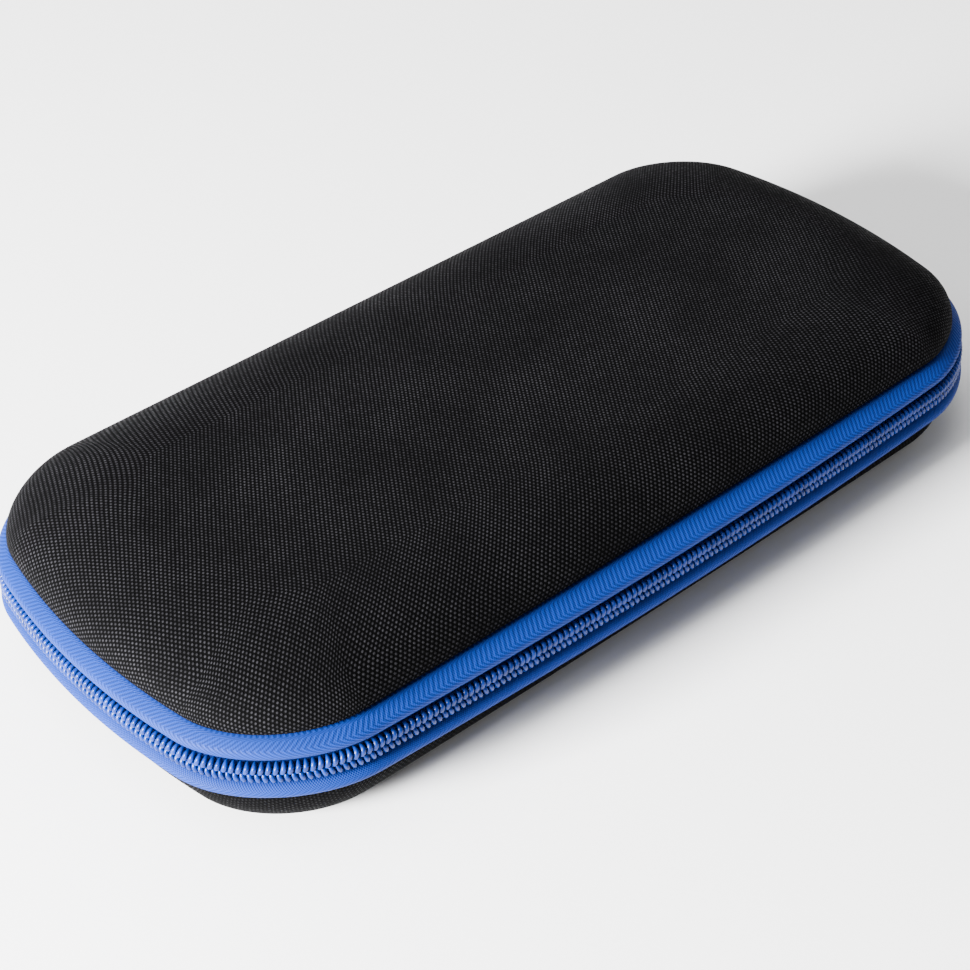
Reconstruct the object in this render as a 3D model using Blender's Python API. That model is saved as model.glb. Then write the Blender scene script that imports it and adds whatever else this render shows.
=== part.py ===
"""Zip-up moulded carrying case for a small handheld device.

Two thermoformed shells, each with a bonded lining, are joined by a coil zip that runs round the ends and
the front, and by a fabric spine at the back. The spine folds at both of its long edges, so it is a body of
its own between the base and the lid. The last straight stretch of zip on each side of the spine turns with
the spine, and the slider runs on the right-hand one.

Frame: +X along the case, +Y towards the spine, +Z up, origin at the middle of the base's flat underside.
"""

import math

import bmesh
import bpy

MM = 0.001

# Plan outline of the zip's crest, before its sides bow. Rings near it share its corner centres, and rings
# deeper than PARALLEL_INSET keep half of the radius they would otherwise lose.
HALF_X = 109.6 * MM
HALF_Y = 57.4 * MM
CREST_RADIUS = 25.0 * MM
CORNER_X = HALF_X - CREST_RADIUS
PARALLEL_INSET = 7.0 * MM
CORNER_STEPS = 7
END_STEPS = 4
SIDE_STEPS = 6

# Bow of the sides beyond the straight outline, at the zip and at the shells' rims.
ZIP_BOW_END = 9.2 * MM
ZIP_BOW_FRONT = 3.9 * MM
RIM_BOW_END = 8.4 * MM
RIM_BOW_FRONT = 1.1 * MM

# Heights, all built up from the zip's centre line.
ZIP_Z = 20.5 * MM
SEAM_RISE = 7.6 * MM
LID_RISE = 20.0 * MM
LID_RUN = 25.0 * MM
BASE_RUN = 10.0 * MM
GAP = 0.3 * MM

SHELL_WALL = 3.4 * MM
LINING = 0.5 * MM
TAPE = 0.7 * MM
TAPE_INSET = 2.4 * MM
COIL_HALF = 2.9 * MM
TAPE_EDGE = 0.9 * MM
TAPE_BULGE = 2.1 * MM

# Fabric spine at the back, between the two seams.
SPINE_LENGTH = 72.0 * MM
SPINE_FABRIC = 0.8 * MM
SPINE_EDGE_GAP = 0.6 * MM
BACK_Y = HALF_Y - TAPE_INSET

# Slider, parked against the top stops beside the spine.
SLIDER_X = 45.0 * MM
SLIDER_LENGTH = 11.0 * MM
SLIDER_HALF_WIDTH = 4.5 * MM
WING = 1.5 * MM
BRIDGE_HALF = 4.4 * MM
BRIDGE_WIDTH = 3.0 * MM
BRIDGE_BAR = 1.2 * MM
PIVOT_OUT = 1.2 * MM
PULL_LENGTH = 26.0 * MM
PULL_WIDTH = 7.0 * MM
PULL_THICK = 1.5 * MM
PULL_HOLE = 5.3 * MM

# Inside: an elastic strap across the base and a net pocket in the lid.
STRAP_WIDTH = 28.0 * MM
STRAP_THICK = 1.0 * MM
STRAP_Z = ZIP_Z - SEAM_RISE - 0.5 * MM
POCKET_RISE = 9.4 * MM
POCKET_FRONT_Y = -26.0 * MM
NET_THICK = 0.8 * MM
HEM_WIDTH = 9.0 * MM

COLOURS = {
    "shell": ((0.020, 0.020, 0.022), 0.75, 0.0),
    "lining": ((0.030, 0.030, 0.032), 0.95, 0.0),
    "zip_tape": ((0.030, 0.130, 0.600), 0.70, 0.0),
    "zip_coil": ((0.040, 0.160, 0.700), 0.35, 0.0),
    "trim": ((0.025, 0.025, 0.028), 0.85, 0.0),
    "net": ((0.035, 0.035, 0.038), 0.80, 0.0),
    "slider_metal": ((0.050, 0.050, 0.055), 0.35, 0.9),
}


def clear_scene():
    for obj in list(bpy.data.objects):
        bpy.data.objects.remove(obj, do_unlink=True)


def material(slot):
    """The Principled material of one slot, made once."""
    if slot in bpy.data.materials:
        return bpy.data.materials[slot]
    made = bpy.data.materials.new(slot)
    made.use_nodes = True
    colour, roughness, metallic = COLOURS[slot]
    shader = made.node_tree.nodes["Principled BSDF"]
    shader.inputs["Base Color"].default_value = (*colour, 1.0)
    shader.inputs["Roughness"].default_value = roughness
    shader.inputs["Metallic"].default_value = metallic
    return made


def finish(name, bm, slot, parent=None):
    """Turns a closed bmesh into a named object with outward faces. Its mesh is in world space."""
    bmesh.ops.recalc_face_normals(bm, faces=bm.faces)
    mesh = bpy.data.meshes.new(name)
    bm.to_mesh(mesh)
    bm.free()
    mesh.shade_smooth()
    mesh.set_sharp_from_angle(angle=math.radians(35))
    obj = bpy.data.objects.new(name, mesh)
    obj.data.materials.append(material(slot))
    bpy.context.scene.collection.objects.link(obj)
    if parent is not None:
        obj.parent = parent
        obj.matrix_parent_inverse = parent.matrix_world.inverted()
    return obj


def pivot(name, location, parent=None):
    """An empty on a joint's axis. What it carries is parented to it."""
    obj = bpy.data.objects.new(name, None)
    obj.location = location
    bpy.context.scene.collection.objects.link(obj)
    bpy.context.view_layer.update()
    if parent is not None:
        obj.parent = parent
        obj.matrix_parent_inverse = parent.matrix_world.inverted()
        bpy.context.view_layer.update()
    return obj


def outline(inset, bow_end, bow_front):
    """Plan points of the rounded case outline, inset from the zip's crest.

    They run clockwise from the right end of the back's straight side, round the front, to its left end.
    The back stays straight, because the spine holds it so.
    """
    radius = CREST_RADIUS - inset + 0.5 * max(0.0, inset - PARALLEL_INSET)
    half_x, half_y = HALF_X - inset, HALF_Y - inset
    centre_x, centre_y = half_x - radius, half_y - radius
    corners = (
        (centre_x, centre_y, 90.0),
        (centre_x, -centre_y, 0.0),
        (-centre_x, -centre_y, -90.0),
        (-centre_x, centre_y, -180.0),
    )
    steps_after = (END_STEPS, SIDE_STEPS, END_STEPS, 0)
    points = []
    for (cx, cy, start), steps in zip(corners, steps_after):
        for i in range(CORNER_STEPS + 1):
            angle = math.radians(start - 90.0 * i / CORNER_STEPS)
            points.append((cx + radius * math.cos(angle), cy + radius * math.sin(angle)))
        x0, y0 = points[-1]
        vertical = abs(abs(x0) - half_x) < abs(abs(y0) - half_y)
        for i in range(1, steps):
            along = 1.0 - 2.0 * i / steps
            points.append((x0, y0 * along) if vertical else (x0 * along, y0))
    bowed = []
    for x, y in points:
        u = x / half_x
        v = y / half_y
        front = bow_front if y < 0 else 0.0
        bowed.append((x * (1 + bow_end / half_x * (1 - v * v)), y * (1 + front / half_y * (1 - u * u))))
    return bowed


def rim(inset):
    """Outline of the shells' rims, inset from where the tape meets them."""
    return outline(TAPE_INSET + inset, RIM_BOW_END, RIM_BOW_FRONT)


def zip_line(inset):
    """Outline of the zip, inset from the crest of its coils."""
    return outline(inset, ZIP_BOW_END, ZIP_BOW_FRONT)


def between(a, b, share):
    return [(p[0] + (q[0] - p[0]) * share, p[1] + (q[1] - p[1]) * share) for p, q in zip(a, b)]


def add_ring(bm, points, z):
    return [bm.verts.new((x, y, z)) for x, y in points]


def bridge(bm, a, b, closed=True):
    count = len(a)
    for i in range(count if closed else count - 1):
        j = (i + 1) % count
        bm.faces.new((a[i], a[j], b[j], b[i]))


def bowl(name, slot, parent, levels):
    """A closed shell from rings (inset, z): down the outside to the rim, then up the inside."""
    bm = bmesh.new()
    rings = [add_ring(bm, rim(inset), z) for inset, z in levels]
    for a, b in zip(rings, rings[1:]):
        bridge(bm, a, b)
    bm.faces.new(rings[0])
    bm.faces.new(rings[-1])
    return finish(name, bm, slot, parent)


def hoop(name, slot, parent, section):
    """A closed ring whose cross-section is given as (inset, z) points from the rim outline."""
    bm = bmesh.new()
    rings = [add_ring(bm, rim(inset), z) for inset, z in section]
    for a, b in zip(rings, rings[1:] + rings[:1]):
        bridge(bm, a, b)
    return finish(name, bm, slot, parent)


def sweep(name, slot, parent, section):
    """A strip along the zip's path, from one end of the back to the other.

    section is a closed list of (plan points, z).
    """
    bm = bmesh.new()
    lines = [add_ring(bm, points, z) for points, z in section]
    for a, b in zip(lines, lines[1:] + lines[:1]):
        bridge(bm, a, b, closed=False)
    bm.faces.new([line[0] for line in lines])
    bm.faces.new([line[-1] for line in lines])
    return finish(name, bm, slot, parent)


def prism_x(bm, section, x0, x1):
    """Adds a prism along X between x0 and x1. section is a list of (y, z)."""
    near = [bm.verts.new((x0, y, z)) for y, z in section]
    far = [bm.verts.new((x1, y, z)) for y, z in section]
    bridge(bm, near, far)
    bm.faces.new(near)
    bm.faces.new(far)


def block(name, slot, parent, low, high):
    """A box between two corners, in a node of its own."""
    bm = bmesh.new()
    (x0, y0, z0), (x1, y1, z1) = low, high
    prism_x(bm, [(y0, z0), (y1, z0), (y1, z1), (y0, z1)], x0, x1)
    return finish(name, bm, slot, parent)


def dome(rise, run, waist_z, direction, sink=0.0, steps=5):
    """Quarter-ellipse levels (inset, z) from flat crown to waist, sunk evenly along their normals."""
    levels = []
    for i in range(steps + 1):
        angle = math.radians(90.0 * (1 - i / steps))
        c, s = math.cos(angle), math.sin(angle)
        length = math.hypot(c * rise, s * run)
        inset = run * (1 - c) + sink * c * rise / length
        levels.append((inset, waist_z + direction * (rise * s - sink * s * run / length)))
    return levels


def shell_levels(seam_z, crown_z, run, direction):
    """Outer and inner levels of a moulded shell. direction is +1 for the lid and -1 for the base."""
    edge = seam_z + direction * GAP
    waist = edge + direction * 1.4 * MM
    rise = abs(crown_z - waist)
    outer = dome(rise, run, waist, direction)
    inner = dome(rise, run, waist, direction, SHELL_WALL)
    return outer + [(0.9 * MM, edge), (SHELL_WALL, edge)] + inner[::-1]


def lining_levels(seam_z, crown_z, run, direction):
    """Levels of the thin lining that lies inside a shell."""
    waist = seam_z + direction * (GAP + 1.4 * MM)
    rise = abs(crown_z - waist)
    outer = dome(rise, run, waist, direction, SHELL_WALL + GAP)
    inner = dome(rise, run, waist, direction, SHELL_WALL + GAP + LINING)
    return outer + inner[::-1]


def tape_section(direction):
    """Cross-section of one zip tape: turned in under the rim, then bulging out and along to the zip's centre.

    Each level is (share of the way from rim to zip outline, height in millimetres, share of the bulge).
    """
    levels = (
        (0.35, 7.30, 0.0),
        (0.75, 6.40, 0.7),
        (1.00, 4.60, 1.0),
        (1.00, 3.60, 0.20),
        (1.00, TAPE_EDGE / MM, 0.0),
    )
    inner_drop = (0.65, 0.55, 0.15, 0.0, 0.0)
    section = [(rim(4.0 * MM), SEAM_RISE), (rim(0.5 * MM), SEAM_RISE)]
    for share, z, bulge in levels:
        out = TAPE_BULGE * bulge
        section.append((between(rim(-out), zip_line(TAPE_INSET - out), share), z * MM))
    for (share, z, bulge), drop in reversed(list(zip(levels, inner_drop))):
        depth = TAPE - TAPE_BULGE * bulge
        section.append((between(rim(depth), zip_line(TAPE_INSET + depth), share), (z - drop) * MM))
    section.append((rim(1.1 * MM), SEAM_RISE - TAPE))
    section.append((rim(4.0 * MM), SEAM_RISE - TAPE))
    return [(points, ZIP_Z + direction * z) for points, z in section]


def coil_profile(inner_edge):
    """(depth behind the crest, height) points round one coil row."""
    foot = TAPE_INSET - GAP
    return (
        (foot, inner_edge + 0.3 * MM),
        (foot * 0.55, inner_edge),
        (0.35 * MM, inner_edge + 0.25 * MM),
        (0.0, 1.4 * MM),
        (0.35 * MM, 2.4 * MM),
        (foot * 0.5, COIL_HALF),
        (foot * 0.75, 2.75 * MM),
        (foot, 2.0 * MM),
    )


def build_half(parent, prefix, direction, crown_z, run, tape_name, coil_name):
    """Shell, lining, binding, tape and coil of the lid or the base."""
    seam_z = ZIP_Z + direction * SEAM_RISE
    bowl(prefix + "_shell", "shell", parent, shell_levels(seam_z, crown_z, run, direction))
    bowl(prefix + "_lining", "lining", parent, lining_levels(seam_z, crown_z, run, direction))
    binding_in = SHELL_WALL + 1.0 * MM
    binding = [
        (binding_in + 0.2 * MM, seam_z - direction * 1.6 * MM),
        (binding_in + 1.0 * MM, seam_z - direction * 1.2 * MM),
        (binding_in + 1.2 * MM, seam_z + direction * 0.4 * MM),
        (binding_in + 0.9 * MM, seam_z + direction * 1.8 * MM),
        (binding_in, seam_z + direction * 1.8 * MM),
    ]
    hoop(prefix + "_rim_binding", "trim", parent, binding)
    sweep(tape_name, "zip_tape", parent, tape_section(direction))
    section = [(zip_line(depth), ZIP_Z + direction * z) for depth, z in coil_profile(0.15 * MM)]
    sweep(coil_name, "zip_coil", parent, section)


def build_strap():
    """Elastic strap across the base, sewn into the seam at both ends."""
    reach = BACK_Y - 6.3 * MM
    block(
        "elastic_strap",
        "trim",
        None,
        (-STRAP_WIDTH / 2, -reach, STRAP_Z),
        (STRAP_WIDTH / 2, reach, STRAP_Z + STRAP_THICK),
    )


def build_pocket(lid):
    """Flat net across the lid's inside, open along its front edge, with an elastic hem there."""
    z0 = ZIP_Z + POCKET_RISE
    border = [p for p in rim(6.4 * MM) if p[1] > POCKET_FRONT_Y + HEM_WIDTH]
    reach = max(x for x, _ in border)
    front_y = POCKET_FRONT_Y + HEM_WIDTH + GAP
    right = [p for p in border if p[0] > 0]
    left = [p for p in border if p[0] < 0]
    loop = right + [(right[-1][0], front_y), (left[0][0], front_y)] + left
    bm = bmesh.new()
    lower = add_ring(bm, loop, z0)
    upper = add_ring(bm, loop, z0 + NET_THICK)
    bridge(bm, lower, upper)
    bm.faces.new(lower)
    bm.faces.new(upper)
    finish("net_pocket", bm, "net", lid)
    hem_reach = reach - 4.0 * MM
    block(
        "pocket_hem",
        "trim",
        lid,
        (-hem_reach, POCKET_FRONT_Y, z0 - 0.2 * MM),
        (hem_reach, POCKET_FRONT_Y + HEM_WIDTH, z0 + NET_THICK + 0.2 * MM),
    )


def build_spine(spine):
    """Fabric spine with its lining, and the straight zip stretches that turn with it."""
    half = SPINE_LENGTH / 2
    reach = SEAM_RISE - SPINE_EDGE_GAP
    outside = BACK_Y + 0.4 * MM
    block(
        "spine_fabric",
        "shell",
        spine,
        (-half, outside, ZIP_Z - reach),
        (half, outside + SPINE_FABRIC, ZIP_Z + reach),
    )
    block(
        "spine_lining",
        "lining",
        spine,
        (-half, BACK_Y - TAPE - 0.9 * MM, ZIP_Z - reach),
        (half, BACK_Y - TAPE - 0.4 * MM, ZIP_Z + reach),
    )
    block(
        "spine_stiffener",
        "trim",
        spine,
        (-half, BACK_Y - TAPE, ZIP_Z - reach),
        (half, BACK_Y, ZIP_Z + reach),
    )
    start = half + GAP
    end = CORNER_X - GAP
    crest_y = BACK_Y + TAPE_INSET
    for side, x0, x1 in (("right", start, end), ("left", -end, -start)):
        for level, direction in (("upper", 1), ("lower", -1)):
            z_low, z_high = sorted((ZIP_Z + direction * TAPE_EDGE, ZIP_Z + direction * reach))
            block(
                f"{level}_tape_end_{side}",
                "zip_tape",
                spine,
                (x0, BACK_Y - TAPE, z_low),
                (x1, BACK_Y, z_high),
            )
            bm = bmesh.new()
            section = [(crest_y - depth, ZIP_Z + direction * z) for depth, z in coil_profile(0.6 * MM)]
            stop = 2.4 * MM
            inner, outer = (x0 + stop, x1) if side == "right" else (x0, x1 - stop)
            prism_x(bm, section, inner, outer)
            finish(f"{level}_coil_end_{side}", bm, "zip_coil", spine)
    build_stops(spine, start, crest_y)


def build_stops(spine, start, crest_y):
    """Two crimped top stops at the closed end and one bottom stop at the other end."""
    foot_y = crest_y - TAPE_INSET + GAP
    length = 1.8 * MM
    for level, direction in (("upper", 1), ("lower", -1)):
        bm = bmesh.new()
        section = [
            (foot_y, ZIP_Z + direction * 0.7 * MM),
            (crest_y - 0.3 * MM, ZIP_Z + direction * 0.7 * MM),
            (crest_y - 0.3 * MM, ZIP_Z + direction * 2.6 * MM),
            (foot_y, ZIP_Z + direction * 3.0 * MM),
        ]
        prism_x(bm, section, start + GAP, start + GAP + length)
        finish(f"{level}_top_stop", bm, "slider_metal", spine)
    block(
        "bottom_stop",
        "slider_metal",
        spine,
        (-start - GAP - length, foot_y, ZIP_Z - 3.0 * MM),
        (-start - GAP, crest_y - 0.2 * MM, ZIP_Z + 3.0 * MM),
    )


def boxes_union(name, slot, parent, boxes, bevel):
    """Joins overlapping boxes into one solid with a Boolean union, then rounds its edges."""
    first = None
    cutters = []
    for i, (low, high) in enumerate(boxes):
        bm = bmesh.new()
        (x0, y0, z0), (x1, y1, z1) = low, high
        prism_x(bm, [(y0, z0), (y1, z0), (y1, z1), (y0, z1)], x0, x1)
        obj = finish(name if i == 0 else f"{name}_join_{i}", bm, slot, parent)
        if i == 0:
            first = obj
            continue
        obj.hide_render = True
        obj.display_type = "WIRE"
        cutters.append(obj)
    for obj in cutters:
        union = first.modifiers.new("join", "BOOLEAN")
        union.operation = "UNION"
        union.object = obj
    rounding = first.modifiers.new("round_edges", "BEVEL")
    rounding.width = bevel
    rounding.segments = 1
    rounding.limit_method = "ANGLE"
    return first


def build_slider(slider):
    """Zinc slider: two wings on a post that runs between the coils, with side flanges and a bridge."""
    crest_y = BACK_Y + TAPE_INSET
    half = SLIDER_LENGTH / 2
    x0, x1 = SLIDER_X - half, SLIDER_X + half
    outer_y = crest_y + 0.4 * MM
    inner_y = BACK_Y - TAPE - 0.4 * MM
    wide = SLIDER_HALF_WIDTH
    web = 0.35 * MM
    flange_z = COIL_HALF + 0.4 * MM
    sink = 0.3 * MM
    top = outer_y + WING
    arch_in = top + PIVOT_OUT + PULL_THICK / 2 + 0.4 * MM
    arch_out = arch_in + BRIDGE_BAR
    zl, zh = ZIP_Z - wide, ZIP_Z + wide
    bw = BRIDGE_WIDTH / 2
    boxes = [
        ((x0, outer_y, zl), (x1, top, zh)),
        ((x0, inner_y - WING, zl), (x1, inner_y, zh)),
        ((x0 + 1.0 * MM, inner_y - sink, ZIP_Z - web), (x0 + 5.0 * MM, outer_y + sink, ZIP_Z + web)),
    ]
    for direction in (1, -1):
        z_low, z_high = sorted((ZIP_Z + direction * flange_z, ZIP_Z + direction * wide))
        boxes.append(((x0 + 0.2 * MM, BACK_Y + 0.5 * MM, z_low), (x1 - 0.2 * MM, outer_y + sink, z_high)))
    for sign in (1, -1):
        leg_out, leg_in = SLIDER_X + sign * BRIDGE_HALF, SLIDER_X + sign * (BRIDGE_HALF - BRIDGE_BAR)
        lo, hi = sorted((leg_out, leg_in))
        boxes.append(((lo, top - sink, ZIP_Z - bw), (hi, arch_out, ZIP_Z + bw)))
    boxes.append(
        ((SLIDER_X - BRIDGE_HALF, arch_in, ZIP_Z - bw), (SLIDER_X + BRIDGE_HALF, arch_out, ZIP_Z + bw))
    )
    boxes_union("slider_body", "slider_metal", slider, boxes, 0.2 * MM)
    return top + PIVOT_OUT


def build_pull(pull, axis_y):
    """Pull tab with a slot for the bridge, lying flat along the zip."""
    half = PULL_THICK / 2
    y0, y1 = axis_y - half, axis_y + half
    wide = PULL_WIDTH / 2
    arm = 1.6 * MM
    x = SLIDER_X
    boxes = [
        ((x - half, y0, ZIP_Z - wide), (x + half, y1, ZIP_Z + wide)),
        ((x - half, y0, ZIP_Z + wide - arm), (x + PULL_HOLE + arm, y1, ZIP_Z + wide)),
        ((x - half, y0, ZIP_Z - wide), (x + PULL_HOLE + arm, y1, ZIP_Z - wide + arm)),
        ((x + PULL_HOLE, y0, ZIP_Z - wide), (x + PULL_LENGTH, y1, ZIP_Z + wide)),
    ]
    boxes_union("pull_tab", "slider_metal", pull, boxes, 0.3 * MM)


def main():
    clear_scene()
    spine = pivot("spine_pivot", (0.0, BACK_Y - TAPE / 2, ZIP_Z - SEAM_RISE))
    lid = pivot("lid_pivot", (0.0, BACK_Y - TAPE / 2, ZIP_Z + SEAM_RISE), spine)
    slider = pivot("slider_track", (SLIDER_X, BACK_Y, ZIP_Z), spine)
    build_half(None, "base", -1, 0.0, BASE_RUN, "lower_zip_tape", "lower_zip_coil")
    build_half(lid, "lid", 1, ZIP_Z + LID_RISE, LID_RUN, "upper_zip_tape", "upper_zip_coil")
    build_strap()
    build_pocket(lid)
    build_spine(spine)
    axis_y = build_slider(slider)
    pull = pivot("pull_pivot", (SLIDER_X, axis_y, ZIP_Z), slider)
    build_pull(pull, axis_y)


main()
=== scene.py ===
"""Looks of the zip-up moulded carrying case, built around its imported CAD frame."""
import math

import bpy
import numpy as np
from mathutils import Matrix, Vector


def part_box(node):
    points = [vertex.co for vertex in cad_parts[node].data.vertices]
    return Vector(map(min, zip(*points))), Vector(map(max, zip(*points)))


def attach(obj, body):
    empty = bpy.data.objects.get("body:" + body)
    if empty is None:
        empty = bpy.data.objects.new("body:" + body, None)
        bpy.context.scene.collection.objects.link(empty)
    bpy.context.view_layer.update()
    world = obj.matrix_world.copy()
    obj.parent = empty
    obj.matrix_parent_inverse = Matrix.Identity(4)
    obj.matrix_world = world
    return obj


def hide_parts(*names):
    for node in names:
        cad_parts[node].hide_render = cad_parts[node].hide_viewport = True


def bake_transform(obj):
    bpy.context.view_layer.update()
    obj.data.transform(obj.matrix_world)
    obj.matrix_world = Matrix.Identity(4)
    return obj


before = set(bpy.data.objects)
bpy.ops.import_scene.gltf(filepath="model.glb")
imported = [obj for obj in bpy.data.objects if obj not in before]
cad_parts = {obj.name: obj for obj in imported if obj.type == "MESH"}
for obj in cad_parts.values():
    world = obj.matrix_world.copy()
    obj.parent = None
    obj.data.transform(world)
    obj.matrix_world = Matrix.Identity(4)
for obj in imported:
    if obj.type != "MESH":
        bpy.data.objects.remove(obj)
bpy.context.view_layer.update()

MM = 0.001

# Places and sizes that come from the frame.
COIL_LOW, COIL_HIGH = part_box("upper_zip_coil")
LID_LOW, LID_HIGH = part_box("lid_shell")
BASE_FLOOR_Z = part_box("base_shell")[0].z
SLIDER_LOW, SLIDER_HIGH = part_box("slider_body")
SPINE_LOW, SPINE_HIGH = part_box("spine_fabric")
STRAP_LOW, STRAP_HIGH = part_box("elastic_strap")
NET_LOW, NET_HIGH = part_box("net_pocket")
HEM_LOW, HEM_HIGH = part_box("pocket_hem")
TAPE_END_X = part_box("upper_tape_end_right")[0].x
ZIP_Z = (SLIDER_LOW.z + SLIDER_HIGH.z) / 2

# The outline's own dimensions, as the CAD model has them.
RADIUS = 25.0 * MM
PARALLEL_INSET = 7.0 * MM
ZIP_BOWS = (9.2 * MM, 3.9 * MM)
RIM_BOWS = (8.4 * MM, 1.1 * MM)
HALF_X = COIL_HIGH.x - ZIP_BOWS[0]
HALF_Y = -COIL_LOW.y - ZIP_BOWS[1]
CORNER_X = HALF_X - RADIUS
TAPE_INSET = 2.4 * MM
GAP = 0.3 * MM
SEAM_RISE = LID_LOW.z - GAP - ZIP_Z
WALL = 3.4 * MM
LINING = 0.5 * MM
LID_RUN = 25.0 * MM
BASE_RUN = 10.0 * MM

# Steps along the outlines, then the sizes of what the CAD leaves plain.
PITCH = 1.5 * MM
CORNER_STEPS = 26
END_STEPS = 30
SIDE_STEPS = 70
TAPE_THICK = 0.7 * MM
TAPE_TUCK = 4.0 * MM
UPPER_BULGE = 2.3 * MM
LOWER_BULGE = 3.0 * MM
WAIST_RISE = 1.4 * MM
CROWN_SWELL = 0.35 * MM
BASE_SINK = -0.05 * MM
FIRST_LOOP = 0.25
LOOP_SQUASH = 0.84
LOOP_SIDES = 8
BRIDGE_STEPS = 19
BRIDGE_SIDES = 14
RIDGES = 6
NET_CELL = 2.4 * MM
NET_THREAD = 0.55 * MM
NO_BEND = lambda a, b: 0.0

BLACK = (0.0036, 0.0035, 0.0040)
BLUE = (0.0015, 0.016, 0.130)


# ---------------------------------------------------------------- materials

class Nodes:
    """A small helper that adds shader nodes and links them in one call."""

    def __init__(self, name):
        self.material = bpy.data.materials.new(name)
        self.material.use_nodes = True
        self.tree = self.material.node_tree
        self.shader = self.tree.nodes["Principled BSDF"]

    def add(self, kind, inputs=(), **settings):
        node = self.tree.nodes.new(kind)
        for key, value in settings.items():
            setattr(node, key, value)
        for key, value in dict(inputs).items():
            self.feed(node.inputs[key], value)
        return node

    def feed(self, socket, value):
        if isinstance(value, bpy.types.NodeSocket):
            self.tree.links.new(value, socket)
        else:
            socket.default_value = value

    def math(self, operation, a, b=0.0, c=0.0):
        node = self.add("ShaderNodeMath", operation=operation)
        for socket, value in zip(node.inputs, (a, b, c)):
            self.feed(socket, value)
        return node.outputs[0]

    def total(self, *values):
        """Adds up two or more values."""
        first, *others = values
        for value in others:
            first = self.math("ADD", first, value)
        return first

    def noise(self, vector, scale, detail=2.0, roughness=0.5):
        node = self.add("ShaderNodeTexNoise", {"Scale": scale, "Detail": detail, "Roughness": roughness})
        self.feed(node.inputs["Vector"], vector)
        return node.outputs["Fac"]

    def ramp(self, factor, low, high, out_low=0.0, out_high=1.0):
        node = self.add("ShaderNodeMapRange", interpolation_type="SMOOTHSTEP")
        values = (factor, low, high, out_low, out_high)
        for key, value in zip(("Value", "From Min", "From Max", "To Min", "To Max"), values):
            self.feed(node.inputs[key], value)
        return node.outputs[0]

    def mix(self, factor, a, b):
        node = self.add("ShaderNodeMix", data_type="RGBA")
        self.feed(node.inputs[0], factor)
        self.feed(node.inputs[6], a if isinstance(a, bpy.types.NodeSocket) else (*a, 1.0))
        self.feed(node.inputs[7], b if isinstance(b, bpy.types.NodeSocket) else (*b, 1.0))
        return node.outputs[2]

    def cloth_axes(self, name="weave"):
        """The two lengths along the cloth, in metres, that each mesh carries per point."""
        source = self.add("ShaderNodeAttribute", attribute_name=name)
        split = self.add("ShaderNodeSeparateXYZ", {"Vector": source.outputs["Vector"]})
        return source.outputs["Vector"], split.outputs[0], split.outputs[1]

    def object_vector(self):
        return self.add("ShaderNodeTexCoord").outputs["Object"]

    def bump(self, height, distance, strength=1.0, normal=None):
        node = self.add("ShaderNodeBump", {"Height": height, "Distance": distance, "Strength": strength})
        if normal is not None:
            self.feed(node.inputs["Normal"], normal)
        return node.outputs["Normal"]

    def surface(self, **values):
        for key, value in values.items():
            socket = self.shader.inputs[key.replace("_", " ")]
            if isinstance(value, tuple) and len(value) == 3:
                value = (*value, 1.0)
            self.feed(socket, value)
        return self.material


def shade(base, factor):
    return tuple(channel * factor for channel in base)


def ballistic_nylon(name, float_highlight_gain):
    """Coarse black nylon: staggered raised floats whose tops are painted lighter as painted highlight, with
    thin gaps between them painted dark as painted shade.

    The second argument says how many times lighter than BLACK the floats' tops are painted, as painted
    highlight.
    """
    n = Nodes(name)
    vector, u, v = n.cloth_axes()
    wander = n.math("MULTIPLY", n.math("SUBTRACT", n.noise(vector, 90.0, 2.0), 0.5), 0.5)
    across = n.math("ADD", n.math("DIVIDE", v, 0.80 * MM), wander)
    row = n.math("FLOOR", across)
    stagger = n.math("MULTIPLY", n.math("FLOORED_MODULO", row, 2.0), 0.5)
    along = n.math("ADD", n.math("ADD", n.math("DIVIDE", u, 1.05 * MM), stagger), wander)
    fu = n.math("SUBTRACT", n.math("FRACT", along), 0.5)
    fv = n.math("SUBTRACT", n.math("FRACT", across), 0.5)
    across_float = n.math("POWER", n.math("DIVIDE", fu, 0.34), 2.0)
    along_float = n.math("POWER", n.math("DIVIDE", fv, 0.44), 2.0)
    far = n.math("ADD", across_float, along_float)
    float_top = n.ramp(far, 1.0, 0.15)
    weft = n.math("ABSOLUTE", n.math("SINE", n.math("MULTIPLY", along, math.pi)))
    thread = n.noise(vector, 4200.0, 2.0, 0.7)
    parts = ((float_top, 0.75), (weft, 0.15), (thread, 0.12))
    height = n.total(*(n.math("MULTIPLY", value, share) for value, share in parts))
    worn = n.noise(vector, 38.0, 4.0, 0.6)
    cell = n.add("ShaderNodeTexWhiteNoise", noise_dimensions="2D")
    place = n.add("ShaderNodeCombineXYZ", {"X": n.math("FLOOR", along), "Y": row})
    n.feed(cell.inputs["Vector"], place.outputs[0])
    # Painted highlight: the floats' tops are coloured lighter, varied at random per float and in worn patches;
    # the gaps keep the dark base colour as painted shade.
    dot = n.math("MULTIPLY", float_top, n.ramp(cell.outputs["Value"], 0.0, 1.0, 0.55, 1.0))
    dot = n.math("MULTIPLY", dot, n.ramp(worn, 0.25, 0.8, 0.5, 1.15))
    colour = n.mix(dot, shade(BLACK, 0.1), shade(BLACK, float_highlight_gain))
    roughness = n.ramp(dot, 0.0, 1.0, 0.85, 0.46)
    normal = n.bump(height, 0.28 * MM, 0.85)
    n.surface(Base_Color=colour, Roughness=roughness, Normal=normal)
    return n.surface(
        Sheen_Weight=0.004, Sheen_Roughness=0.45, Sheen_Tint=(0.75, 0.72, 0.85),
        Specular_IOR_Level=0.025)


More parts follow.
